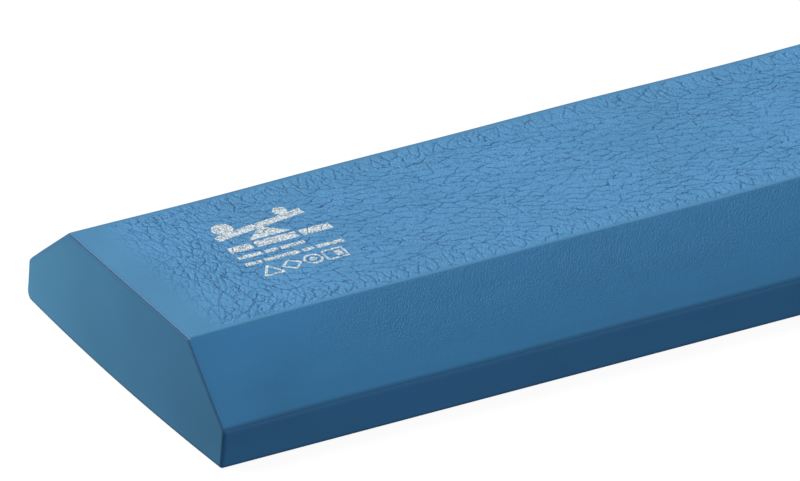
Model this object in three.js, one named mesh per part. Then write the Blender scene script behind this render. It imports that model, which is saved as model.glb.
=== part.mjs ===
// A foam balance beam: a long, low bar of soft closed-cell foam to walk and stand on.
// Its section is a hexagon with a flat base, two low upright sides, two sloping bevels
// and a narrower flat top, and both ends are cut square. The foam core is closed all
// round by the thin dense skin of its mould, one piece of skin on each of its eight faces.
//
// Millimetres. The length runs along X, the width along Y, and Z is up from the floor.
// The origin is on the floor under the middle of the beam.

import * as THREE from "three";
import { ConvexGeometry } from "three/addons/geometries/ConvexGeometry.js";

// Driving dimensions
const LENGTH = 1620;
const WIDTH = 240;
const HEIGHT = 60;
const SIDE_HEIGHT = 23.5; // from the floor to where the bevel starts
const BEVEL_INSET = 46.5; // how far the bevel leans in, on each side
const SKIN = 2; // thickness of the skin
const GAP = 0.3; // left between neighbouring pieces, along every bond line

// Colours of the dyed foam
const TOP_BLUE = 0x5592be;
const BEVEL_BLUE = 0x3a6f9c;
const SIDE_BLUE = 0x264d74;
const END_BLUE = 0x447494;
const CORE_BLUE = 0x4a80a8;

const foam = (color, roughness) => new THREE.MeshStandardMaterial({ color, roughness, metalness: 0 });

// A face of the beam is the plane whose outward normal is n, at distance d from the origin.
function face(y, z, distance) {
  return { n: new THREE.Vector3(0, y, z).normalize(), d: distance };
}

function bevel(side) {
  const bevelHeight = HEIGHT - SIDE_HEIGHT;
  const { n } = face(side * bevelHeight, BEVEL_INSET, 0);
  const lowerEdge = new THREE.Vector3(0, (side * WIDTH) / 2, SIDE_HEIGHT);
  return { n, d: n.dot(lowerEdge) };
}

function end(side) {
  return { n: new THREE.Vector3(side, 0, 0), d: LENGTH / 2 };
}

// The six faces that run the whole length, in order round the section. Front is -Y.
const around = [
  { name: "base_skin", color: SIDE_BLUE, roughness: 0.85, ...face(0, -1, 0) },
  { name: "front_side_skin", color: SIDE_BLUE, roughness: 0.6, ...face(-1, 0, WIDTH / 2) },
  { name: "front_bevel_skin", color: BEVEL_BLUE, roughness: 0.7, ...bevel(-1) },
  { name: "top_skin", color: TOP_BLUE, roughness: 0.65, ...face(0, 1, HEIGHT) },
  { name: "rear_bevel_skin", color: BEVEL_BLUE, roughness: 0.7, ...bevel(1) },
  { name: "rear_side_skin", color: SIDE_BLUE, roughness: 0.6, ...face(1, 0, WIDTH / 2) },
];
const ends = [
  { name: "left_end_skin", color: END_BLUE, roughness: 0.6, ...end(-1) },
  { name: "right_end_skin", color: END_BLUE, roughness: 0.6, ...end(1) },
];

// The point where three planes meet. Each plane holds the points p with n . p = d.
function meet(a, b, c) {
  const rows = new THREE.Matrix3().set(...a.n.toArray(), ...b.n.toArray(), ...c.n.toArray());
  return new THREE.Vector3(a.d, b.d, c.d).applyMatrix3(rows.invert());
}

const sunk = (plane, depth) => ({ n: plane.n, d: plane.d - depth });

// The mitre between two faces: the plane that halves the angle between them, moved
// half a gap towards face a.
function mitre(a, b) {
  const across = a.n.clone().sub(b.n);
  const length = across.length();
  return { n: across.divideScalar(length), d: (a.d - b.d) / length + GAP / 2 };
}

// A piece of skin lies under its own face and is mitred against each of its neighbours,
// which are given in order round the face.
function skin(own, neighbours) {
  const points = neighbours.flatMap((neighbour, i) => {
    const following = neighbours[(i + 1) % neighbours.length];
    const mitres = [mitre(own, neighbour), mitre(own, following)];
    return [meet(own, ...mitres), meet(sunk(own, SKIN), ...mitres)];
  });
  return new ConvexGeometry(points);
}

// The core fills the inside of the skin, one gap clear of it.
function core() {
  const depth = SKIN + GAP;
  const points = ends.flatMap((endFace) =>
    around.map((own, i) => {
      const following = around[(i + 1) % around.length];
      return meet(sunk(endFace, depth), sunk(own, depth), sunk(following, depth));
    }),
  );
  return new ConvexGeometry(points);
}

const beam = new THREE.Group();

function add(name, geometry, material) {
  const mesh = new THREE.Mesh(geometry, material);
  mesh.name = name;
  beam.add(mesh);
}

add("foam_core", core(), foam(CORE_BLUE, 0.9));

around.forEach((own, i) => {
  const before = around[(i + around.length - 1) % around.length];
  const after = around[(i + 1) % around.length];
  const [left, right] = ends;
  add(own.name, skin(own, [before, left, after, right]), foam(own.color, own.roughness));
});

for (const own of ends) {
  add(own.name, skin(own, around), foam(own.color, own.roughness));
}

export default beam;
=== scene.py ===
"""The looks of a foam balance beam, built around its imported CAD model.

The beam is one soft foam core in a dense moulded skin. Each face's skin is modelled as a thin
closed piece with rounded edges, and the pieces meet in a fine line along every arris. The top
carries real crackle relief and a plain printed mark. Sizes here are in metres.
"""

import math

import bmesh
import bpy
import numpy as np
from mathutils import Matrix, Vector


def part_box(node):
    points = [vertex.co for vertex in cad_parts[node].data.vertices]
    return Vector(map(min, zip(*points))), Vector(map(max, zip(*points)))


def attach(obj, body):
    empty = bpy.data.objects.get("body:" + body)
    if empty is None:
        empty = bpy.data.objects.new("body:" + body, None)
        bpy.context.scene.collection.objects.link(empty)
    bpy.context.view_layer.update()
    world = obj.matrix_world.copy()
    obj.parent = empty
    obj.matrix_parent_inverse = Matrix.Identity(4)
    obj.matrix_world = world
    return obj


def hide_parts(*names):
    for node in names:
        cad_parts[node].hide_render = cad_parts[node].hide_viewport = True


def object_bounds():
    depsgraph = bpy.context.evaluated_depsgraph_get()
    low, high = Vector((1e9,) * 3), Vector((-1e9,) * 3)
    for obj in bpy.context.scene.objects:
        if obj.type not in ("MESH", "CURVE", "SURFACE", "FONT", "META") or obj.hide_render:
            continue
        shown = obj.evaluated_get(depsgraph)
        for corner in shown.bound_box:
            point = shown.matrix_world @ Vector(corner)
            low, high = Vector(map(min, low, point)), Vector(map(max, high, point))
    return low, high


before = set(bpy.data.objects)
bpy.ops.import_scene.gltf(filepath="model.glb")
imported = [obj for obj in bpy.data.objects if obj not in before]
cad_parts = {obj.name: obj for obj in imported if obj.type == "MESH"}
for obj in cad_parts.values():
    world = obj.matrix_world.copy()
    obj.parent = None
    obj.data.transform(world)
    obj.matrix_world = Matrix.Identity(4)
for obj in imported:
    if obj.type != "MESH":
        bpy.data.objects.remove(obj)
cad_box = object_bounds()

MM = 0.001

# Sizes taken from the frame
LOW, HIGH = (Vector(corner) for corner in cad_box)
HALF_LENGTH = HIGH.x
HALF_WIDTH = HIGH.y
HEIGHT = HIGH.z
HALF_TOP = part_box("top_skin")[1].y
SIDE_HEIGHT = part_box("front_side_skin")[1].z
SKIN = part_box("base_skin")[1].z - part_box("base_skin")[0].z

# Soft edges
TOP_RADIUS = 2.5 * MM  # arris between top and bevel
BEVEL_RADIUS = 6 * MM  # arris between bevel and side
FRONT_BASE_RADIUS = 1.2 * MM
REAR_BASE_RADIUS = 6 * MM
END_RADIUS = 2 * MM  # all arrises of the two ends
TOP_SEAM = 0.14 * MM  # depth of the fine line along each arris
BEVEL_SEAM = 0.06 * MM
BASE_SEAM = 0.2 * MM
END_SEAM = 0.1 * MM
SEAM_WIDTH = 0.9 * MM
TOP_PAINTED_SHADE = 0.3  # how much painted shade darkens the foam along each arris
BEVEL_PAINTED_SHADE = 0.15
BASE_PAINTED_SHADE = 0.5
END_PAINTED_SHADE = 0.6
# how far the painted shade along an arris spreads
PAINTED_SHADE_WIDTH = 1.2 * MM
CLEARANCE = 0.005 * MM  # between neighbouring pieces of skin, at the bottom of a seam
TINY = 1e-9  # keeps a division from being by zero

# The moulding isn't quite straight
END_LEAN = 5.2 * MM  # how far each end leans in, from the floor to the top
LEAN_CURVE = 0.7  # below 1, it leans more near the floor than near the top
END_BOW = 3 * MM  # how far the middle of an end's foot stands out beyond its corners
SWAY = 0.011  # how far the top's width strays, as a share, in slow waves
SWAY_LENGTHS = (310 * MM, 173 * MM)


# ---- numbers and meshes


def smoothstep(low, high, value):
    t = np.clip((value - low) / (high - low), 0, 1)
    return t * t * (3 - 2 * t)


def value_noise(rng, x, y, size_x, size_y):
    """Smooth random heights from -1 to 1, on hills about size_x by size_y across."""
    cells_x = int(np.ptp(x) / size_x) + 4
    cells_y = int(np.ptp(y) / size_y) + 4
    lattice = rng.uniform(-1, 1, (cells_x, cells_y))
    gx = (x - x.min()) / size_x + 1
    gy = (y - y.min()) / size_y + 1
    ix = gx.astype(int)
    iy = gy.astype(int)
    tx = smoothstep(0, 1, gx - ix)
    ty = smoothstep(0, 1, gy - iy)
    near = lattice[ix, iy] * (1 - tx) + lattice[ix + 1, iy] * tx
    far = lattice[ix, iy + 1] * (1 - tx) + lattice[ix + 1, iy + 1] * tx
    return near * (1 - ty) + far * ty


def settle(points):
    """Leans and bows both ends, and lets the top's width stray in long waves."""
    x, y, z = points.T
    height = z / HEIGHT
    lean = END_LEAN * np.clip(height, 0, None) ** LEAN_CURVE
    bow = END_BOW * (1 - (y / HALF_WIDTH) ** 2) * (1 - height)
    waves = sum(np.sin(2 * math.pi * x / length) for length in SWAY_LENGTHS) / len(SWAY_LENGTHS)
    new_x = x * (1 + (bow - lean) / HALF_LENGTH)
    new_y = y * (1 + SWAY * waves * height)
    return np.column_stack([new_x, new_y, z])


def link(obj):
    bpy.context.scene.collection.objects.link(obj)
    return obj


def read(items, name, width=1, kind=np.float32):
    """One property of all items, such as the place of every vertex, in one flat array."""
    values = np.zeros(len(items) * width, kind)
    items.foreach_get(name, values)
    return values


def make_object(name, vertices, groups):
    """A mesh object from numpy arrays. The faces in one group all have as many corners,
    and those in the first group are shaded smooth."""
    mesh = bpy.data.meshes.new(name)
    loops = np.concatenate([group.reshape(-1) for group in groups])
    corners = np.concatenate([np.full(len(group), group.shape[1]) for group in groups])
    mesh.vertices.add(len(vertices))
    mesh.vertices.foreach_set("co", vertices.astype(np.float32).reshape(-1))
    mesh.loops.add(len(loops))
    mesh.loops.foreach_set("vertex_index", loops.astype(np.int32))
    mesh.polygons.add(len(corners))
    mesh.polygons.foreach_set("loop_start", (np.cumsum(corners) - corners).astype(np.int32))
    mesh.polygons.foreach_set("use_smooth", np.arange(len(corners)) < len(groups[0]))
    mesh.update(calc_edges=True)
    mesh.validate()
    return link(bpy.data.objects.new(name, mesh))


def add_attribute(obj, name, values):
    """Gives the object's points a value each, and 0 to any points past the last value."""
    attribute = obj.data.attributes.new(name, "FLOAT", "POINT")
    padded = np.zeros(len(obj.data.vertices), np.float32)
    padded[: len(values)] = values
    attribute.data.foreach_set("value", padded)


def stops(start, end, edge_step, step, edge_zone):
    """Grid stops from start to end: close together in the zones at both ends."""
    zone = np.linspace(0, edge_zone, int(round(edge_zone / edge_step)) + 1)
    middle_count = max(int(round((end - start - 2 * edge_zone) / step)), 1)
    middle = np.linspace(start + edge_zone, end - edge_zone, middle_count + 1)
    return np.concatenate([start + zone[:-1], middle, end - zone[-2::-1]])


def grid_quads(rows, columns):
    first = (np.arange(rows - 1)[:, None] * columns + np.arange(columns - 1)).reshape(-1)
    return np.stack([first, first + columns, first + columns + 1, first + 1], 1)


def grid_border(rows, columns):
    """The vertex numbers round a grid, in order."""
    numbers = np.arange(rows * columns).reshape(rows, columns)
    sides = [numbers[:-1, 0], numbers[-1, :-1], numbers[:0:-1, -1], numbers[0, :0:-1]]
    return np.concatenate(sides)


def split_quads(quads, level):
    """Two triangles for each quad, cut along the diagonal whose corners have the lower level.

    So a line of low points runs on through every quad that it crosses.
    """
    a, b, c, d = quads.T
    first = level[a] + level[c] <= level[b] + level[d]
    ones = np.stack([a, b, np.where(first, c, d)], 1)
    others = np.stack([np.where(first, a, b), c, d], 1)
    return np.concatenate([ones, others])


def skin_object(name, outer, rows, columns, inner_border, flip, level=None):
    """A thin closed piece: a detailed outer grid, a rim, and one flat face behind."""
    faces = grid_quads(rows, columns)
    if level is not None:
        faces = split_quads(faces, level)
    border = grid_border(rows, columns)
    behind = np.arange(len(border)) + len(outer)
    rim = np.stack([border, np.roll(border, -1), np.roll(behind, -1), behind], 1)
    cap = behind[None, :]
    if flip:
        faces = faces[:, ::-1]
    else:
        rim = rim[:, ::-1]
        cap = cap[:, ::-1]
    vertices = settle(np.concatenate([outer, inner_border]))
    return make_object(name, vertices, [faces, rim, cap])


# ---- the beam's faces


class Arris:
    """A rounded edge, seen from one of its two faces. turn is the angle the surface turns."""

    def __init__(self, radius, turn, seam, darkening):
        self.radius = radius
        self.seam = seam
        self.darkening = darkening
        self.slope = math.tan(turn / 2)
        self.reach = radius * self.slope
        self.border = self.inset(radius * (1 - math.cos(turn / 2)) + seam)

    def inset(self, depth):
        """How far in from the sharp edge the piece's border lies, at this depth."""
        return depth * self.slope + CLEARANCE

    def drop(self, distance):
        """How far the surface lies below the flat face, at a distance from the sharp edge."""
        inside = np.clip(self.reach - distance, 0, self.radius)
        rounding = self.radius - np.sqrt(self.radius**2 - inside**2)
        seam = np.exp(-(((distance - self.border) / SEAM_WIDTH) ** 2))
        return rounding + self.seam * seam

    def painted_shade(self, distance):
        """How much painted shade darkens the foam, from 0 to 1, at a distance from the sharp edge.
        """
        return self.darkening * np.exp(-(((distance - self.border) / PAINTED_SHADE_WIDTH) ** 2))


TOP_TURN = math.atan2(HEIGHT - SIDE_HEIGHT, HALF_WIDTH - HALF_TOP)
RIGHT_ANGLE = math.pi / 2
END_ARRIS = Arris(END_RADIUS, RIGHT_ANGLE, END_SEAM, END_PAINTED_SHADE)
TOP_ARRIS = Arris(TOP_RADIUS, TOP_TURN, TOP_SEAM, TOP_PAINTED_SHADE)
BEVEL_ARRIS = Arris(BEVEL_RADIUS, RIGHT_ANGLE - TOP_TURN, BEVEL_SEAM, BEVEL_PAINTED_SHADE)
FRONT_BASE_ARRIS = Arris(FRONT_BASE_RADIUS, RIGHT_ANGLE, BASE_SEAM, BASE_PAINTED_SHADE)
REAR_BASE_ARRIS = Arris(REAR_BASE_RADIUS, RIGHT_ANGLE, BASE_SEAM, BASE_PAINTED_SHADE)
END_BORDER = HALF_LENGTH - END_ARRIS.border  # how far along X the long pieces of skin reach

# Corners of the section, as (y, z)
FRONT_FOOT = Vector((-HALF_WIDTH, 0))
FRONT_SHOULDER = Vector((-HALF_WIDTH, SIDE_HEIGHT))
FRONT_TOP = Vector((-HALF_TOP, HEIGHT))
REAR_TOP = Vector((HALF_TOP, HEIGHT))
REAR_SHOULDER = Vector((HALF_WIDTH, SIDE_HEIGHT))
REAR_FOOT = Vector((HALF_WIDTH, 0))

EDGE_STEP = 0.25 * MM
EDGE_ZONE = 6 * MM


class LongFace:
    """One of the six faces that run the whole length, from section corner a to corner b."""

    def __init__(self, a, b, arris_a, arris_b):
        self.a = a
        self.width = (b - a).length
        self.across = (b - a) / self.width
        self.out = Vector((self.across.y, -self.across.x))
        self.arris_a = arris_a
        self.arris_b = arris_b
        self.first = arris_a.border
        self.last = self.width - arris_b.border

    def points(self, x, across, height):
        """The points at x, so far across the face, and so high above it."""
        section = (
            np.array(self.a)
            + across[:, None] * np.array(self.across)
            + height[:, None] * np.array(self.out)
        )
        return np.column_stack([x, section])

    def drop(self, x, across):
        """The rounding and the seams, as a depth below the flat face."""
        from_end = HALF_LENGTH - np.abs(x)
        return (
            self.arris_a.drop(across)
            + self.arris_b.drop(self.width - across)
            + END_ARRIS.drop(from_end)
        )

    def painted_shade(self, x, across):
        """How much painted shade darkens the foam along the arrises, from 0 to 1."""
        long_arrises = self.arris_a.painted_shade(across) + self.arris_b.painted_shade(self.width - across)
        return np.maximum(long_arrises, END_ARRIS.painted_shade(HALF_LENGTH - np.abs(x)))

    def grid(self, step_x, step_across):
        """The grid's stops along the beam and across the face, from border to border."""
        xs = stops(-END_BORDER, END_BORDER, EDGE_STEP, step_x, EDGE_ZONE)
        vs = stops(self.first, self.last, EDGE_STEP, step_across, EDGE_ZONE)
        return xs, vs

    def inner_border(self, x, across):
        """Moves the outer grid's border points to where the flat back of the skin ends."""
        end_inner = HALF_LENGTH - END_ARRIS.inset(SKIN)
        low = self.arris_a.inset(SKIN)
        high = self.width - self.arris_b.inset(SKIN)
        inner_x = x * end_inner / END_BORDER
        inner_across = low + (across - self.first) * (high - low) / (self.last - self.first)
        return self.points(inner_x, inner_across, np.full(len(x), -SKIN))

    def skin(self, name, step_x, step_across, relief=None):
        """relief, if given, returns the grid's heights, its moved points and named values."""
        xs, vs = self.grid(step_x, step_across)
        x, across = (a.reshape(-1) for a in np.meshgrid(xs, vs, indexing="ij"))
        border = grid_border(len(xs), len(vs))
        inner = self.inner_border(x[border], across[border])
        height = np.zeros(len(x))
        # painted shade along the arrises, for each point
        values = {"painted_shade": self.painted_shade(x, across)}
        if relief is not None:
            height, x, across, more_values = relief(self, xs, vs, x, across)
            values.update(more_values)
        outer = self.points(x, across, height - self.drop(x, across))
        level = values.get("crack_distance")
        skin = skin_object(name, outer, len(xs), len(vs), inner, flip=True, level=level)
        for value_name, value in values.items():
            add_attribute(skin, value_name, value)
        return skin


TOP = LongFace(REAR_TOP, FRONT_TOP, TOP_ARRIS, TOP_ARRIS)
FRONT_BEVEL = LongFace(FRONT_TOP, FRONT_SHOULDER, TOP_ARRIS, BEVEL_ARRIS)
FRONT_SIDE = LongFace(FRONT_SHOULDER, FRONT_FOOT, BEVEL_ARRIS, FRONT_BASE_ARRIS)
BASE = LongFace(FRONT_FOOT, REAR_FOOT, FRONT_BASE_ARRIS, REAR_BASE_ARRIS)
REAR_SIDE = LongFace(REAR_FOOT, REAR_SHOULDER, REAR_BASE_ARRIS, BEVEL_ARRIS)
REAR_BEVEL = LongFace(REAR_SHOULDER, REAR_TOP, BEVEL_ARRIS, TOP_ARRIS)


# ---- crackle of the top

TOP_STEP = 0.6 * MM
HALF_STEP = TOP_STEP / 2
WIDE_CELL = 8.6 * MM  # spacing of the wide plates between the deep cracks
FINE_CELL = 4.9 * MM  # and of the small plates between the shallow ones
FINE_SHARE = (0.85, 0.5)  # depth of the shallow cracks near the ends and far from them
FINE_FROM_END = (50 * MM, 130 * MM)  # that share changes over this stretch from each end
STRETCH = 2.1  # how much longer than wide a plate is, along the cracks
REACH = 3  # how many cells away a point's nearest plate may be
WARP_SIZE = 2.8 * MM
WARP = 0.9 * MM  # how far a crack strays from a straight line

# Which way the cracks run
CROSS_EDGE = (8 * MM, 26 * MM)  # cracks run across the beam nearer than this to its edges
CROSS_END = (35 * MM, 120 * MM)  # and nearer than this to its ends
DRIFT = 0.8  # how far the lengthwise cracks turn towards the beam's front, on the way to +X
SWIRL_SIZE = (55 * MM, 32 * MM)
SWIRL = 0.35  # how strongly the heading strays, in slow swirls

# How deep they are
CRACK_DEPTH = 0.28 * MM
LIP = 0.32  # height of a crack's raised lips, as a share of its depth
SMOOTH_END = (11 * MM, 40 * MM)  # cracks fade in over this stretch from each end
SMOOTH_EDGE = (0.5 * MM, 7 * MM)
CHANCES = 65521  # how many chances are drawn, to be dealt out to the cracks
DEAL = (31, 17)  # mixes the numbers of the two plates beside a crack, to deal it its chance
BY_CHANCE = (0.45, 0.55)  # a crack's least liking to be deep, and what chance adds to it
BY_HEADING = (0.62, 0.48)  # the same for how well the crack follows the heading
PATCH_SIZE = (30 * MM, 16 * MM)
WIDE_PATCHINESS = 0.1  # how far that liking strays from patch to patch, for deep cracks
FINE_PATCHINESS = 0.12  # and for shallow ones
STREAK_SIZE = (4 * MM, 4 * MM)
STREAKINESS = 0.12  # how far it strays along a crack
WIDE_LIKING = (0.05, 0.75)  # the likings at which a deep crack is closed and fully open
FINE_LIKING = (0.2, 0.95)
LEAST_DEPTH = 0.02  # cracks with a smaller share of the full depth are left out
MOST_MOVE = 0.3  # the most that a point moves to reach a crack, in grid steps
MOST_DISTANCE = 2  # distances to a crack are told apart up to this many grid steps

# The plates between the cracks
PEBBLE_SIZE = 3.5 * MM
PEBBLE_STRETCH = 1.4
PEBBLE_HEIGHT = 0.06 * MM
DOME = 0.22 * MM  # how far a plate rises from its cracks to its middle
DOME_WIDTH = 1.2 * MM
GRAIN_SIZE = (22 * MM, 14 * MM)
GRAIN_CHANGE = 0.4  # how far the fine grain's strength strays, in patches of that size


def crack_heading(x, y, swirl):
    """The angle from X that cracks follow: lengthwise inside, and across near the edges."""
    from_end = HALF_LENGTH - np.abs(x)
    from_edge = HALF_TOP - np.abs(y)
    inside_end = smoothstep(*CROSS_END, from_end)
    inside_edge = smoothstep(*CROSS_EDGE, from_edge)
    lengthwise = inside_end * inside_edge
    corner = (1 - inside_end) * np.abs(y) / HALF_TOP
    cosine = 2 * lengthwise - 1 + swirl[0]
    sine = corner * np.sign(x) * np.sign(y) - DRIFT * lengthwise + swirl[1]
    return np.arctan2(sine, cosine) / 2


def crack_strength(x, y):
    """How much of their depth the cracks have: none at the top's borders."""
    from_end = HALF_LENGTH - np.abs(x)
    from_edge = HALF_TOP - np.abs(y)
    return smoothstep(*SMOOTH_END, from_end) * smoothstep(*SMOOTH_EDGE, from_edge)


def nearest_plates(rng, x, y, heading, cell):
    """The two plates nearest to each point: their distances, numbers and distances' slopes.

    Plates grow from one scattered seed in each square cell, and a distance along the
    heading counts for less than one across it, which stretches the plates lengthwise.
    """
    column = np.floor((x - x.min()) / cell).astype(int) + REACH
    row = np.floor((y - y.min()) / cell).astype(int) + REACH
    shape = (column.max() + REACH + 1, row.max() + REACH + 1)
    seed_x = (np.arange(shape[0])[:, None] - REACH + rng.uniform(0, 1, shape)) * cell + x.min()
    seed_y = (np.arange(shape[1])[None, :] - REACH + rng.uniform(0, 1, shape)) * cell + y.min()
    cos, sin = np.cos(heading), np.sin(heading)
    best = np.full((2, len(x)), np.inf)
    number = np.zeros((2, len(x)), int)
    slope = np.zeros((2, 2, len(x)))
    for shift_column in range(-REACH, REACH + 1):
        for shift_row in range(-REACH, REACH + 1):
            i, j = column + shift_column, row + shift_row
            away_x, away_y = x - seed_x[i, j], y - seed_y[i, j]
            along = (away_x * cos + away_y * sin) / STRETCH
            aside = away_y * cos - away_x * sin
            distance = np.hypot(along, aside) + TINY
            this_number = i * shape[1] + j
            this_slope = np.stack(
                [along * cos / STRETCH - aside * sin, along * sin / STRETCH + aside * cos]
            )
            this_slope /= distance
            first = distance < best[0]
            second = ~first & (distance < best[1])
            best[1] = np.where(first, best[0], np.where(second, distance, best[1]))
            number[1] = np.where(first, number[0], np.where(second, this_number, number[1]))
            slope[1] = np.where(first, slope[0], np.where(second, this_slope, slope[1]))
            best[0] = np.where(first, distance, best[0])
            number[0] = np.where(first, this_number, number[0])
            slope[0] = np.where(first, this_slope, slope[0])
    return best, number, slope


def crack_lines(rng, x, y, heading, cell):
    """The way to each point's nearest crack, its distance, and how likely it is to be deep."""
    warped_x = x + WARP * value_noise(rng, x, y, WARP_SIZE, WARP_SIZE)
    warped_y = y + WARP * value_noise(rng, x, y, WARP_SIZE, WARP_SIZE)
    best, number, slope = nearest_plates(rng, warped_x, warped_y, heading, cell)
    toward = slope[1] - slope[0]
    steepness = np.hypot(*toward) + TINY
    toward /= steepness
    # Each crack has its own depth, and those that follow the heading are the deep ones.
    low, high = np.minimum(*number), np.maximum(*number)
    chance = rng.uniform(0, 1, CHANCES)[(low * DEAL[0] + high * DEAL[1]) % CHANCES]
    follows = np.abs(toward[1] * np.cos(heading) - toward[0] * np.sin(heading))
    by_chance = BY_CHANCE[0] + BY_CHANCE[1] * chance
    by_heading = BY_HEADING[0] + BY_HEADING[1] * follows**2
    return toward, (best[1] - best[0]) / steepness, by_chance * by_heading


def raised_lips(sunk, shape):
    """How far the grid points beside the sunk ones rise, from 0 to 1."""
    field = sunk.reshape(shape)
    lips = np.zeros(shape)
    for shift_x, shift_v in ((1, 0), (-1, 0), (0, 1), (0, -1)):
        lips += np.roll(field, (shift_x, shift_v), (0, 1)) / 2
    return np.minimum(lips, 1).reshape(-1)


def inner_points(shape):
    """Whether each point of a grid is off its border."""
    inside = np.ones(shape, bool)
    inside[[0, -1], :] = False
    inside[:, [0, -1]] = False
    return inside.reshape(-1)


def crackle(face, xs, vs, x, across):
    """Cracks between plates: grid points next to a crack move onto its line and sink."""
    rng = np.random.default_rng(7)
    y = HALF_TOP - across
    swirl = [SWIRL * value_noise(rng, x, y, *SWIRL_SIZE) for _ in range(2)]
    heading = crack_heading(x, y, swirl)
    patches = value_noise(rng, x, y, *PATCH_SIZE)
    streaks = value_noise(rng, x, y, *STREAK_SIZE)
    strength = crack_strength(x, y)

    # The deep cracks
    toward, from_crack, liking = crack_lines(rng, x, y, heading, WIDE_CELL)
    liking = liking + WIDE_PATCHINESS * patches + STREAKINESS * streaks
    depth = smoothstep(*WIDE_LIKING, liking) * strength

    # The shallow ones
    fine_toward, fine_from_crack, liking = crack_lines(rng, x, y, heading, FINE_CELL)
    liking = liking + FINE_PATCHINESS * patches + STREAKINESS * streaks
    fine_depth = smoothstep(*FINE_LIKING, liking) * strength
    far = smoothstep(*FINE_FROM_END, HALF_LENGTH - np.abs(x))
    fine_depth = fine_depth * (FINE_SHARE[0] + (FINE_SHARE[1] - FINE_SHARE[0]) * far)
    dome = np.minimum(
        (smoothstep(0, DOME_WIDTH, from_crack) - 1) * depth,
        (smoothstep(0, DOME_WIDTH, fine_from_crack) - 1) * fine_depth,
    )

    # From here on, each point has only its nearest crack, and a deep one comes first.
    fine = (from_crack > HALF_STEP) & (fine_from_crack < from_crack)
    toward = np.where(fine, fine_toward, toward)
    from_crack = np.where(fine, fine_from_crack, from_crack)
    depth = np.where(fine, fine_depth, depth)
    shape = (len(xs), len(vs))
    on_crack = (from_crack < HALF_STEP) & inner_points(shape) & (depth > LEAST_DEPTH)

    # No point moves so far that two neighbours could meet or cross.
    spacing = np.minimum.outer(np.gradient(xs), np.gradient(vs)).reshape(-1)
    move = np.where(on_crack, np.minimum(from_crack, MOST_MOVE * spacing), 0)
    moved_x = x - move * toward[0]
    moved_across = across + move * toward[1]

    lips = raised_lips(np.where(on_crack, depth, 0), shape)
    pebbles = value_noise(rng, x, y, PEBBLE_SIZE * PEBBLE_STRETCH, PEBBLE_SIZE)
    height = np.where(on_crack, -CRACK_DEPTH * depth, CRACK_DEPTH * LIP * lips)
    height = height + PEBBLE_HEIGHT * pebbles * strength + DOME * dome
    distance = np.where(on_crack, 0, np.maximum(from_crack, HALF_STEP)) / TOP_STEP
    values = {
        "crack_depth": depth,
        "crack_distance": np.minimum(distance, MOST_DISTANCE),
        "grain": strength * (1 + GRAIN_CHANGE * value_noise(rng, x, y, *GRAIN_SIZE)),
    }
    return height, moved_x, moved_across, values


def top_skin():
    return TOP.skin("top_skin_crackled", TOP_STEP, TOP_STEP, crackle)


# ---- printed mark

INK_LIFT = 0.06 * MM
INK_THICKNESS = 0.04 * MM
SLIVER = 0.0005 * MM**2  # bits of ink smaller than this are left out
INK_BREAK = 0.8  # the ink is broken where a crack is deeper than this share
MERGE = 0.002 * MM  # points of ink nearer than this to each other are one
MARK_LEFT = 74 * MM  # from the end of the beam to the mark's left edge
MARK_CENTRE = (30 * MM, 7 * MM)  # from its left edge and from the beam's middle line
MARK_REACH = (36 * MM, 42 * MM)  # nothing of the mark is further than this from its centre


def disc(x, y, radius, corners=28):
    turns = [2 * math.pi * i / corners for i in range(corners)]
    return [(x + radius * math.cos(t), y + radius * math.sin(t)) for t in turns]


def stroke(start, end, width):
    """A straight line of ink, as a rectangle."""
    a, b = Vector(start), Vector(end)
    side = Vector((a.y - b.y, b.x - a.x)).normalized() * width / 2
    return [a - side, b - side, b + side, a + side]


def outline(points, width):
    """A closed line of ink through the points, one stroke for each side."""
    shapes = []
    for i, point in enumerate(points):
        shapes.append(stroke(point, points[(i + 1) % len(points)], width))
    return shapes


def bar(x, y, length, height):
    return stroke((x, y), (x + length, y), height)


def mark_shapes():
    """A plain printed mark, in millimetres from its left edge and the beam's middle line.

    From the far side: a plank balanced on a wedge, one row of bold bars, two rows of
    thin bars, and a row of small plain symbols. Every shape is convex.
    """
    shapes = [
        stroke((0, 24.5), (58, 33), 6.2),
        [(15, 14.5), (42, 14.5), (28.5, 27)],
        disc(8.5, 34.2, 6.4),
        disc(47, 38.6, 4.4),
    ]
    for x, length in ((0, 14), (16.5, 26), (45, 19)):
        shapes.append(bar(x, 8.5, length, 7))
    for x, length in ((0, 15), (17, 8), (27, 15)):
        shapes.append(bar(x, -2, length, 3.6))
    for x, length in ((0, 10), (12, 22), (36, 7), (45, 17)):
        shapes.append(bar(x, -11, length, 3.6))
    shapes += outline([(4, -28.4), (16, -28.4), (10, -17.6)], 1.6)
    shapes += outline([(17.6, -23), (23.2, -28.6), (28.8, -23), (23.2, -17.4)], 1.6)
    shapes += outline(disc(36.5, -23, 5.2, 20), 1.5)
    shapes.append(disc(36.5, -23, 2.3, 14))
    shapes += outline([(44, -28.4), (56.5, -28.4), (56.5, -17.8), (44, -17.8)], 1.3)
    shapes.append(bar(50.5, -23.1, 4, 6.4))
    return shapes


def clip(polygon, keep):
    """The part of a polygon where keep(point) is positive, which is linear along its sides."""
    clipped = []
    for i, point in enumerate(polygon):
        following = polygon[(i + 1) % len(polygon)]
        here, there = keep(point), keep(following)
        if here >= 0:
            clipped.append(point)
        if (here >= 0) != (there >= 0):
            clipped.append(point + (following - point) * (here / (here - there)))
    return clipped


def inside_side(shape, i):
    """A function of a point, positive on the inside of a shape's side number i.

    The shape's corners run anticlockwise.
    """
    corner_x, corner_y = shape[i]
    next_x, next_y = shape[(i + 1) % len(shape)]
    side_x, side_y = next_x - corner_x, next_y - corner_y
    return lambda p: side_x * (p[1] - corner_y) - side_y * (p[0] - corner_x)


def clip_to_shape(polygon, shape):
    """The part of a polygon, in x and y, that lies in a convex shape."""
    for i in range(len(shape)):
        polygon = clip(polygon, inside_side(shape, i))
    return polygon


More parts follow.
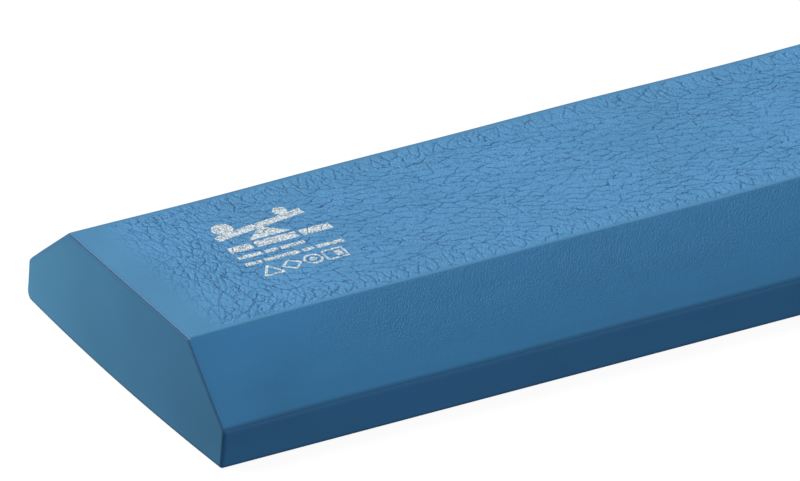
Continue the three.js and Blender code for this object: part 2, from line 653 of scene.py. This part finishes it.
def area(polygon):
    """The area of a polygon in x and y."""
    if len(polygon) < 3:
        return 0
    x, y = np.array(polygon)[:, :2].T
    return abs(np.dot(x, np.roll(y, -1)) - np.dot(y, np.roll(x, -1))) / 2


def overlap(one, other):
    """Whether the boxes round two shapes overlap."""
    low = np.maximum(np.min(one, 0), np.min(other, 0))
    high = np.minimum(np.max(one, 0), np.max(other, 0))
    return (high > low).all()


def cut_away(polygon, shape):
    """The parts of a polygon that lie outside a convex shape."""
    if area(clip_to_shape(polygon, shape)) < SLIVER:
        return [polygon]
    parts = []
    for i in range(len(shape)):
        inside = inside_side(shape, i)
        parts.append(clip(polygon, lambda p: -inside(p)))
        polygon = clip(polygon, inside)
    return parts


def ink_parts(triangle, shape, earlier_shapes):
    """The parts of a triangle of skin that a shape inks, where no earlier shape has."""
    parts = [clip(clip_to_shape(triangle, shape), lambda p: INK_BREAK - p[3])]
    for earlier in earlier_shapes:
        parts = [rest for part in parts for rest in cut_away(part, earlier)]
    return [part for part in parts if area(part) > SLIVER]


def skin_points(mesh):
    """x, y, height and openness of the crack at every point of the crackled skin."""
    places = read(mesh.vertices, "co", 3).reshape(-1, 3)
    depth = read(mesh.attributes["crack_depth"].data, "value")
    distance = read(mesh.attributes["crack_distance"].data, "value")
    return np.column_stack([places, depth * (1 - distance)]).astype(float)


def skin_triangles(mesh):
    """The corners of the crackled skin's triangles, which come before its other faces."""
    corner_counts = read(mesh.polygons, "loop_total", kind=np.int32)
    corners = read(mesh.loops, "vertex_index", kind=np.int32)
    return corners[: 3 * np.count_nonzero(corner_counts == 3)].reshape(-1, 3)


def ink_sheet(points, triangles, left):
    """The mark as one layer of faces on the skin, as a bmesh."""
    low = points[triangles, :2].min(1)
    high = points[triangles, :2].max(1)
    bm = bmesh.new()
    shapes = [[(left + x * MM, y * MM) for x, y in shape] for shape in mark_shapes()]
    for number, shape in enumerate(shapes):
        touching = ((high > np.min(shape, 0)) & (low < np.max(shape, 0))).all(1)
        overlapped = [other for other in shapes[:number] if overlap(shape, other)]
        for triangle in triangles[touching]:
            for part in ink_parts(list(points[triangle]), shape, overlapped):
                bm.faces.new([bm.verts.new((p[0], p[1], p[2] + INK_LIFT)) for p in part])
    return bm


def printed_mark(skin):
    """Ink that lies close over the skin's own surface, and breaks where a crack runs."""
    points = skin_points(skin.data)
    triangles = skin_triangles(skin.data)
    left = -HALF_LENGTH + MARK_LEFT
    near = np.abs(points[triangles[:, 0], 0] - left - MARK_CENTRE[0]) < MARK_REACH[0]
    near &= np.abs(points[triangles[:, 0], 1] - MARK_CENTRE[1]) < MARK_REACH[1]
    bm = ink_sheet(points, triangles[near], left)
    bmesh.ops.remove_doubles(bm, verts=bm.verts, dist=MERGE)
    bmesh.ops.dissolve_degenerate(bm, dist=MERGE, edges=bm.edges)
    for corner in [v for v in bm.verts if not v.is_manifold]:
        bmesh.utils.vert_separate(corner, [e for e in corner.link_edges if e.is_boundary])
    bmesh.ops.solidify(bm, geom=bm.faces, thickness=INK_THICKNESS)
    mark_mesh = bpy.data.meshes.new("printed_mark")
    bm.to_mesh(mark_mesh)
    bm.free()
    return link(bpy.data.objects.new("printed_mark", mark_mesh))


# ---- other skins

BEVEL_STEP = (2 * MM, 1.5 * MM)
SIDE_STEP = (4 * MM, 2 * MM)
BASE_STEP = (4 * MM, 4 * MM)
BEVEL_CROWN = 1.6 * MM  # how far the middle of a bevel bulges
END_CROWN = 0.9 * MM
CROWN_FROM_END = 40 * MM  # the long faces bulge less than this near to their ends
SIDE_SWELL = (14 * MM, 0.12 * MM)  # width and height of the low swells
BEVEL_SWELL = (9 * MM, 0.1 * MM)
SWELL_STRETCH = 4  # how many times longer than wide a swell is
SWELL_FROM_END = (4 * MM, 12 * MM)  # swells fade in over these stretches from the borders
SWELL_FROM_EDGE = (4 * MM, 10 * MM)
GRAIN_FROM_END = (15 * MM, 130 * MM)  # the bevels' wrinkle grain fades in over this stretch
GRAIN_FROM_FOOT = (-0.1, 0.75)  # and over this share of a bevel's height, from its foot


def crown(share):
    """A gentle bulge: 0 at both borders of a face and 1 in its middle."""
    return 4 * share * (1 - share)


def gentle_waves(seed, size, height, bulge=0.0):
    """Relief for a nearly smooth face: low swells that fade out at its borders."""

    def relief(face, xs, vs, x, across):
        rng = np.random.default_rng(seed)
        swell = value_noise(rng, x, across, SWELL_STRETCH * size, size)
        from_end = HALF_LENGTH - np.abs(x)
        from_edge = np.minimum(across, face.width - across)
        inside = smoothstep(*SWELL_FROM_END, from_end) * smoothstep(*SWELL_FROM_EDGE, from_edge)
        share = (across - vs[0]) / (vs[-1] - vs[0])
        bulging = bulge * crown(share) * smoothstep(0, CROWN_FROM_END, from_end)
        return height * swell * inside + bulging, x, across, {}

    return relief


def side_skins():
    waves = gentle_waves(11, *SIDE_SWELL)
    front = FRONT_SIDE.skin("front_side_skin_smooth", *SIDE_STEP, waves)
    rear = REAR_SIDE.skin("rear_side_skin_smooth", *SIDE_STEP, waves)
    return front, rear


def add_bevel_grain(bevel):
    """Says how strong a bevel's grain is: less near its foot and near the beam's ends."""
    x, _, z = read(bevel.data.vertices, "co", 3, float).reshape(-1, 3).T
    upper = smoothstep(*GRAIN_FROM_FOOT, (z - SIDE_HEIGHT) / (HEIGHT - SIDE_HEIGHT))
    add_attribute(bevel, "grain", upper * smoothstep(*GRAIN_FROM_END, HALF_LENGTH - np.abs(x)))


def bevel_skins():
    waves = gentle_waves(13, *BEVEL_SWELL, BEVEL_CROWN)
    front = FRONT_BEVEL.skin("front_bevel_skin_grained", *BEVEL_STEP, waves)
    rear = REAR_BEVEL.skin("rear_bevel_skin_grained", *BEVEL_STEP, waves)
    add_bevel_grain(front)
    add_bevel_grain(rear)
    return front, rear


def base_skin():
    return BASE.skin("base_skin_grained", *BASE_STEP)


# ---- end skins

END_STEP = 1.5 * MM
END_SHARE_STEP = 0.006  # of the width
BEVEL_SLOPE = (HALF_WIDTH - HALF_TOP) / (HEIGHT - SIDE_HEIGHT)


def base_radius(y):
    """The rounding of the section's foot, on the front or rear side of the middle line."""
    return np.where(y < 0, FRONT_BASE_RADIUS, REAR_BASE_RADIUS)


def half_width_at(z, radius, inset):
    """Half the rounded section's width at height z, with its whole outline set in."""
    sloping = HALF_WIDTH - (z - SIDE_HEIGHT) * BEVEL_SLOPE - inset / math.sin(TOP_TURN)
    below = np.maximum(radius - z, 0)
    rounded = np.sqrt(np.maximum((radius - inset) ** 2 - below**2, 0)) + HALF_WIDTH - radius
    return np.minimum(rounded, sloping)


def outline_distance(y, z):
    """How far a point of the end lies inside the section's outline."""
    radius = base_radius(y)
    from_side = HALF_WIDTH - np.abs(y)
    in_corner = (from_side < radius) & (z < radius)
    from_corner = radius - np.hypot(radius - from_side, radius - z)
    from_bevel = (from_side - (z - SIDE_HEIGHT) * BEVEL_SLOPE) * math.sin(TOP_TURN)
    from_flats = np.minimum(np.minimum(z, HEIGHT - z), np.minimum(from_side, from_bevel))
    return np.where(in_corner, from_corner, from_flats)


def end_skin(name, side):
    """The skin of the end at side * X. Its grid has rows of equal height and shares of width."""
    inset = END_ARRIS.border
    zs = stops(inset, HEIGHT - inset, EDGE_STEP, END_STEP, EDGE_ZONE)
    share_step, share_zone = EDGE_STEP / HALF_WIDTH / 2, EDGE_ZONE / HALF_WIDTH / 2
    shares = stops(0, 1, share_step, END_SHARE_STEP, share_zone)
    z, share = (a.reshape(-1) for a in np.meshgrid(zs, 2 * shares - 1, indexing="ij"))
    radius = base_radius(share)
    y = share * half_width_at(z, radius, inset)
    drop = END_ARRIS.drop(outline_distance(y, z))
    bulge = END_CROWN * crown((z - inset) / (HEIGHT - 2 * inset)) * crown(share / 2 + 0.5)
    outer = np.column_stack([side * (HALF_LENGTH + bulge - np.minimum(drop, SKIN)), y, z])
    border = grid_border(len(zs), len(shares))
    inner_inset = END_ARRIS.inset(SKIN)
    squeeze = (HEIGHT - 2 * inner_inset) / (HEIGHT - 2 * inset)
    inner_z = inner_inset + (z[border] - inset) * squeeze
    inner_y = share[border] * half_width_at(inner_z, radius[border], inner_inset)
    inner_x = np.full(len(border), side * (HALF_LENGTH - SKIN))
    inner = np.column_stack([inner_x, inner_y, inner_z])
    skin = skin_object(name, outer, len(zs), len(shares), inner, flip=side > 0)
    # painted shade along the end's arrises
    add_attribute(skin, "painted_shade", END_ARRIS.painted_shade(outline_distance(y, z)))
    return skin


# ---- core

CORE_GAP = 0.4 * MM  # between the backs of the skins and the core
CORE_DEPTH = SKIN + CORE_GAP
CORE_STEP = 5 * MM
CORE_RADIUS = 4 * MM
PIT_SIZE = 2.5 * MM
PIT_DEPTH = 0.12 * MM  # on average


def corner_ways(corners, i):
    """The directions from a corner to the ones before and after it, and half its angle."""
    before = (corners[i - 1] - corners[i]).normalized()
    after = (corners[(i + 1) % len(corners)] - corners[i]).normalized()
    return before, after, before.angle(after) / 2


def inward(before, after, half_angle, depth):
    """The way from a corner to the point that lies at this depth below both its sides."""
    return (before + after).normalized() * depth / math.sin(half_angle)


def rounded_outline(corners, radius, step):
    """The points round a convex outline with round corners, about a step apart."""
    points = []
    for i, corner in enumerate(corners):
        before, after, half_angle = corner_ways(corners, i)
        reach = radius / math.tan(half_angle)
        centre = corner + inward(before, after, half_angle, radius)
        start = corner + before * reach - centre
        end = corner + after * reach - centre
        for share in (0, 0.25, 0.5, 0.75, 1):
            points.append(centre + start.slerp(end, share).normalized() * radius)
        leg = (corners[(i + 1) % len(corners)] - corner).length - 2 * reach
        for number in range(1, int(leg / step)):
            points.append(corner + after * (reach + leg * number / int(leg / step)))
    return np.array(points)


def foam_core():
    """The soft inside: a bar in the section's outline, set in from the skin, and finely pitted."""
    outline = [FRONT_FOOT, FRONT_SHOULDER, FRONT_TOP, REAR_TOP, REAR_SHOULDER, REAR_FOOT]
    corners = []
    for i, corner in enumerate(outline):
        corners.append(corner + inward(*corner_ways(outline, i), CORE_DEPTH))
    loop = rounded_outline(corners, CORE_RADIUS, CORE_STEP)
    end = HALF_LENGTH - CORE_DEPTH - PIT_DEPTH
    xs = np.linspace(-end, end, int(2 * end / CORE_STEP) + 1)
    x, number = (a.reshape(-1) for a in np.meshgrid(xs, np.arange(len(loop)), indexing="ij"))
    rng = np.random.default_rng(5)
    pits = value_noise(rng, x, number * CORE_STEP, PIT_SIZE, PIT_SIZE)
    middle = np.array((0, HEIGHT / 2))
    section = loop[number] - middle
    reach = np.hypot(*section.T)
    section = middle + section * (1 - PIT_DEPTH * (1 + pits) / reach)[:, None]
    rings = np.arange(len(xs) * len(loop)).reshape(len(xs), len(loop))
    around = np.roll(rings, -1, axis=1)
    walls = np.stack([rings[:-1], rings[1:], around[1:], around[:-1]], 2).reshape(-1, 4)
    ends = np.stack([rings[0], rings[-1][::-1]])
    return make_object("foam_core_soft", settle(np.column_stack([x, section])), [walls, ends])


# ---- materials

WHITE = (1, 1, 1)
NOISE_SPAN = (0.3, 0.7)  # nearly all of a noise texture's values lie between these
NOISE_ROUGHNESS = 0.55

# Each foam's colour, roughness, grain and depth of grain. The grain is given as the number
# of its cells in a metre along X, Y and Z.
# The bevel, side and end colours are darker than the top's: partly own colour, partly painted
# shade.
FOAMS = {
    "top_foam": ((0.077, 0.268, 0.502), 0.44, (380, 560, 560), 0.2 * MM),
    "bevel_foam": ((0.03, 0.187, 0.4), 0.55, (720, 600, 600), 0.2 * MM),
    "side_foam": ((0.036, 0.19, 0.432), 0.5, (500, 500, 500), 0.03 * MM),
    "end_foam": ((0.032, 0.141, 0.268), 0.5, (500, 500, 500), 0.03 * MM),
    "base_foam": ((0.07, 0.2, 0.37), 0.7, (900, 900, 900), 0.1 * MM),
    "core_foam": ((0.09, 0.24, 0.4), 0.8, (1500, 1500, 1500), 0.2 * MM),
}
CRACKED = ("top_foam",)
GRAINED = ("top_foam", "bevel_foam")  # these have grooves as well, as strong as "grain" says
FOAM_SPECULAR = 0.35
ROUGHNESS_CHANGE = 0.05
MOTTLE = 0.05  # how far the foam's colour strays, as a share
MOTTLE_SCALE = 14
SPECK_SHADE = (0.95, 0.95, 0.95)
SPECK_SCALE = 900
GROOVE_WIDTH = 0.2  # half the width of a groove of the grain, in cells
# the colour of the painted shade along the arrises
PAINTED_SHADE_COLOR = (0.14, 0.36, 0.48)
CRACK_SHADE_WIDTH = 0.7  # half the width of the painted shade at a crack's bottom, in grid steps
# the colour of the painted shade at the bottoms of the cracks
CRACK_PAINTED_SHADE = (0.18, 0.34, 0.45)
SMOOTH_SHADE = (0.74, 0.79, 0.77)  # the top's smooth parts are a little darker than the crackled

INK_COLOR = (0.84, 0.87, 0.87)
INK_ROUGHNESS = 0.45
INK_GAP_COLOR = (0.3, 0.42, 0.52)
CRAZE_SCALE = 620
CRAZE_EDGE = (0.06, 0.16)  # distances from a gap's middle line, in cells, where ink begins
WORN_INK_SHADE = (0.72, 0.72, 0.72)
WORN_INK_SPAN = (0.3, 0.65)
WORN_INK_SCALE = 500


def new_material(name):
    material = bpy.data.materials.new(name)
    material.use_nodes = True
    tree = material.node_tree
    return material, tree, tree.nodes["Principled BSDF"]


def noise(tree, coordinates, scale, detail):
    node = tree.nodes.new("ShaderNodeTexNoise")
    node.inputs["Scale"].default_value = scale
    node.inputs["Detail"].default_value = detail
    node.inputs["Roughness"].default_value = NOISE_ROUGHNESS
    tree.links.new(coordinates, node.inputs["Vector"])
    return node.outputs["Fac"]


def cell_edges(tree, coordinates, scale):
    """Distances to the nearest border between random cells, in cells."""
    node = tree.nodes.new("ShaderNodeTexVoronoi")
    node.feature = "DISTANCE_TO_EDGE"
    node.inputs["Scale"].default_value = scale
    tree.links.new(coordinates, node.inputs["Vector"])
    return node.outputs["Distance"]


def stretched(tree, coordinates, scale):
    node = tree.nodes.new("ShaderNodeMapping")
    node.inputs["Scale"].default_value = scale
    tree.links.new(coordinates, node.inputs["Vector"])
    return node.outputs["Vector"]


def ramp(tree, value, low, high, low_color, high_color):
    node = tree.nodes.new("ShaderNodeValToRGB")
    node.color_ramp.elements[0].position = low
    node.color_ramp.elements[0].color = (*low_color, 1)
    node.color_ramp.elements[1].position = high
    node.color_ramp.elements[1].color = (*high_color, 1)
    tree.links.new(value, node.inputs["Fac"])
    return node.outputs["Color"]


def map_range(tree, value, low, high, to_low, to_high):
    node = tree.nodes.new("ShaderNodeMapRange")
    limits = {"From Min": low, "From Max": high, "To Min": to_low, "To Max": to_high}
    for socket, number in limits.items():
        node.inputs[socket].default_value = number
    tree.links.new(value, node.inputs["Value"])
    return node.outputs["Result"]


def multiply_color(tree, color, factor_color):
    """The product of two colours. Inputs 6 and 7 and output 2 are the node's colour sockets."""
    node = tree.nodes.new("ShaderNodeMix")
    node.data_type = "RGBA"
    node.blend_type = "MULTIPLY"
    node.inputs[0].default_value = 1
    tree.links.new(color, node.inputs[6])
    tree.links.new(factor_color, node.inputs[7])
    return node.outputs[2]


def add_bump(tree, shader, height, distance):
    node = tree.nodes.new("ShaderNodeBump")
    node.inputs["Distance"].default_value = distance
    node.inputs["Strength"].default_value = 1
    tree.links.new(height, node.inputs["Height"])
    tree.links.new(node.outputs["Normal"], shader.inputs["Normal"])


def scaled(color, factor):
    return tuple(channel * factor for channel in color)


def point_value(tree, name):
    node = tree.nodes.new("ShaderNodeAttribute")
    node.attribute_name = name
    return node.outputs["Fac"]


def combine(tree, operation, one, other):
    node = tree.nodes.new("ShaderNodeMath")
    node.operation = operation
    tree.links.new(one, node.inputs[0])
    tree.links.new(other, node.inputs[1])
    return node.outputs["Value"]


def crack_shade_mask(tree):
    """Painted shade in a crack: 1 along the bottom of a full crack, 0 a little way to both sides.
    """
    nearness = map_range(tree, point_value(tree, "crack_distance"), 0, CRACK_SHADE_WIDTH, 1, 0)
    return combine(tree, "MULTIPLY", nearness, point_value(tree, "crack_depth"))


def foam_color(tree, color, patches, coordinates, cracked):
    """The foam's mottled and finely specked colour, with painted shade on its arrises and cracks.
    """
    mottled = ramp(tree, patches, *NOISE_SPAN, scaled(color, 1 - MOTTLE), scaled(color, 1 + MOTTLE))
    specks = noise(tree, coordinates, SPECK_SCALE, 2)
    specked = multiply_color(tree, mottled, ramp(tree, specks, *NOISE_SPAN, SPECK_SHADE, WHITE))
    # painted shade along the arrises
    painted_shade_ramp = ramp(tree, point_value(tree, "painted_shade"), 0, 1, WHITE, PAINTED_SHADE_COLOR)
    with_painted_shade = multiply_color(tree, specked, painted_shade_ramp)
    if not cracked:
        return with_painted_shade
    smooth_shade = ramp(tree, point_value(tree, "grain"), 0, 1, SMOOTH_SHADE, WHITE)
    shaded = multiply_color(tree, with_painted_shade, smooth_shade)
    # painted shade at the bottoms of the cracks
    return multiply_color(tree, shaded, ramp(tree, crack_shade_mask(tree), 0, 1, WHITE, CRACK_PAINTED_SHADE))


def foam_grain(tree, coordinates, scale, grained):
    """The height of the foam's fine grain."""
    place = stretched(tree, coordinates, scale)
    height = noise(tree, place, 1, 3)
    if not grained:
        return height
    plates = map_range(tree, cell_edges(tree, place, 1), 0, GROOVE_WIDTH, 0, 1)
    height = combine(tree, "ADD", height, plates)
    return combine(tree, "MULTIPLY", height, point_value(tree, "grain"))


def foam_material(name, color, roughness, grain_scale, grain_depth):
    material, tree, shader = new_material(name)
    coordinates = tree.nodes.new("ShaderNodeTexCoord").outputs["Object"]
    patches = noise(tree, coordinates, MOTTLE_SCALE, 4)
    base = foam_color(tree, color, patches, coordinates, name in CRACKED)
    tree.links.new(base, shader.inputs["Base Color"])
    smoothest, roughest = roughness - ROUGHNESS_CHANGE, roughness + ROUGHNESS_CHANGE
    rough = map_range(tree, patches, *NOISE_SPAN, smoothest, roughest)
    tree.links.new(rough, shader.inputs["Roughness"])
    shader.inputs["Specular IOR Level"].default_value = FOAM_SPECULAR
    height = foam_grain(tree, coordinates, grain_scale, name in GRAINED)
    add_bump(tree, shader, height, grain_depth)
    return material


def ink_material():
    """Silver ink, crazed all over with hairline gaps, and worn darker in small patches."""
    material, tree, shader = new_material("silver_ink")
    coordinates = tree.nodes.new("ShaderNodeTexCoord").outputs["Object"]
    gaps = cell_edges(tree, coordinates, CRAZE_SCALE)
    crazed = ramp(tree, gaps, *CRAZE_EDGE, INK_GAP_COLOR, INK_COLOR)
    patches = noise(tree, coordinates, WORN_INK_SCALE, 2)
    worn = multiply_color(tree, crazed, ramp(tree, patches, *WORN_INK_SPAN, WORN_INK_SHADE, WHITE))
    tree.links.new(worn, shader.inputs["Base Color"])
    shader.inputs["Roughness"].default_value = INK_ROUGHNESS
    return material


# ---- putting it together


def finish_piece(piece, materials, slot, node):
    """Gives a piece of foam its material, hangs it on the root, and hides the CAD node it stands
    for.
    """
    piece.data.materials.append(materials[slot])
    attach(piece, "root")
    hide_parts(node)


def build_beam():
    materials = {slot: foam_material(slot, *foam) for slot, foam in FOAMS.items()}
    front_bevel, rear_bevel = bevel_skins()
    front_side, rear_side = side_skins()
    top = top_skin()
    finish_piece(top, materials, "top_foam", "top_skin")
    mark = printed_mark(top)
    mark.data.materials.append(ink_material())
    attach(mark, "root")
    finish_piece(front_bevel, materials, "bevel_foam", "front_bevel_skin")
    finish_piece(rear_bevel, materials, "bevel_foam", "rear_bevel_skin")
    finish_piece(front_side, materials, "side_foam", "front_side_skin")
    finish_piece(rear_side, materials, "side_foam", "rear_side_skin")
    finish_piece(base_skin(), materials, "base_foam", "base_skin")
    left_end = end_skin("left_end_skin_smooth", -1)
    finish_piece(left_end, materials, "end_foam", "left_end_skin")
    finish_piece(end_skin("right_end_skin_smooth", 1), materials, "end_foam", "right_end_skin")
    finish_piece(foam_core(), materials, "core_foam", "foam_core")
    return left_end


# ---- studio and camera

FLOOR_RADIUS = 60
FLOOR_DROP = 0.2 * MM  # below the beam, so that the base and the floor don't fight
FLOOR_GREY = (0.08, 0.08, 0.08, 1)
FLOOR_GLOW = 0.93  # with the lights, it comes out as plain white
SOFTBOX_PLACE = (-0.17, 0.32, 0.06)  # from the foot of the left end, at the beam's middle line
SOFTBOX_SIZE = 0.12
SOFTBOX_POWER = 1.7
SOFTBOX_COLOR = (1, 0.66, 0.52)
SKY_HEIGHTS = (-0.5, 0.7)  # the light on the object grows between these heights of direction
SKY_STRENGTHS = (0.16, 0.42)

# Angles from straight in front of the beam and level
CAMERA_AZIMUTH = math.radians(-27.088)
CAMERA_ELEVATION = math.radians(27.441)
CAMERA_ROLL = math.radians(-1.359)
CAMERA_DISTANCE = 12
CAMERA_LENS = 962.7  # focal length in millimetres
VIEW_MIDDLE = (0.1559, 0.0797)  # right of and above the foot of the left end, as seen


def floor():
    bpy.ops.mesh.primitive_circle_add(vertices=128, radius=FLOOR_RADIUS, fill_type="NGON")
    ground = bpy.context.object
    ground.name = "floor"
    ground.location.z = LOW.z - FLOOR_DROP
    material, _, shader = new_material("pale_floor")
    shader.inputs["Base Color"].default_value = FLOOR_GREY
    shader.inputs["Roughness"].default_value = 1
    shader.inputs["Specular IOR Level"].default_value = 0
    shader.inputs["Emission Color"].default_value = (*WHITE, 1)
    shader.inputs["Emission Strength"].default_value = FLOOR_GLOW
    ground.data.materials.append(material)
    ground.visible_diffuse = False
    ground.visible_glossy = False


def soft_sun(name, direction, spread, strength):
    """Even light from a large soft source. direction points from the beam to the light."""
    data = bpy.data.lights.new(name, "SUN")
    data.angle = math.radians(spread)
    data.energy = strength
    light = link(bpy.data.objects.new(name, data))
    light.rotation_euler = Vector(direction).to_track_quat("Z", "Y").to_euler()


def end_light(left_end):
    """A small softbox off the beam's left rear corner, which lights only the left end."""
    data = bpy.data.lights.new("end_softbox", "AREA")
    data.shape = "DISK"
    data.size = SOFTBOX_SIZE
    data.energy = SOFTBOX_POWER
    data.color = SOFTBOX_COLOR
    light = link(bpy.data.objects.new("end_softbox", data))
    light.location = (-HALF_LENGTH + SOFTBOX_PLACE[0], *SOFTBOX_PLACE[1:])
    way = light.location - Vector((-HALF_LENGTH, 0, HEIGHT / 2))
    light.rotation_euler = way.to_track_quat("Z", "Y").to_euler()
    light.visible_camera = False
    light.visible_glossy = False
    lit = bpy.data.collections.new("lit_by_end_softbox")
    lit.objects.link(left_end)
    light.light_linking.receiver_collection = lit


def studio_world():
    """Pale all round for the camera, with dimmer light on the object, dimmest from below."""
    world = bpy.data.worlds.new("studio")
    world.use_nodes = True
    tree = world.node_tree
    direction = tree.nodes.new("ShaderNodeTexCoord").outputs["Generated"]
    height = tree.nodes.new("ShaderNodeSeparateXYZ")
    tree.links.new(direction, height.inputs["Vector"])
    sky = map_range(tree, height.outputs["Z"], *SKY_HEIGHTS, *SKY_STRENGTHS)
    camera_ray = tree.nodes.new("ShaderNodeLightPath").outputs["Is Camera Ray"]
    strength = tree.nodes.new("ShaderNodeMix")
    tree.links.new(camera_ray, strength.inputs["Factor"])
    tree.links.new(sky, strength.inputs["A"])
    strength.inputs["B"].default_value = 1
    background = tree.nodes["Background"]
    background.inputs["Color"].default_value = (*WHITE, 1)
    tree.links.new(strength.outputs["Result"], background.inputs["Strength"])
    bpy.context.scene.world = world


def lights(left_end):
    soft_sun("key", direction=(-0.42, 0.5, 0.76), spread=30, strength=3.1)
    soft_sun("fill", direction=(0.1, -0.8, 0.6), spread=80, strength=0.35)
    end_light(left_end)
    studio_world()


def camera():
    """A long lens on the beam's left end."""
    across = math.cos(CAMERA_ELEVATION)
    back = Vector(
        (
            math.sin(CAMERA_AZIMUTH) * across,
            -math.cos(CAMERA_AZIMUTH) * across,
            math.sin(CAMERA_ELEVATION),
        )
    )
    level_right = Vector((0, 0, 1)).cross(back).normalized()
    level_up = back.cross(level_right)
    right = level_right * math.cos(CAMERA_ROLL) + level_up * math.sin(CAMERA_ROLL)
    up = back.cross(right)
    foot = Vector((-HALF_LENGTH, 0, 0))
    place = foot + right * VIEW_MIDDLE[0] + up * VIEW_MIDDLE[1] + back * CAMERA_DISTANCE
    data = bpy.data.cameras.new("camera")
    data.lens = CAMERA_LENS
    data.clip_end = 200
    view = link(bpy.data.objects.new("camera", data))
    axes = Matrix((right, up, back)).transposed().to_4x4()
    view.matrix_world = Matrix.Translation(place) @ axes
    bpy.context.scene.camera = view


camera()
left_end_skin = build_beam()
floor()
lights(left_end_skin)
bpy.context.scene.view_settings.view_transform = "Standard"
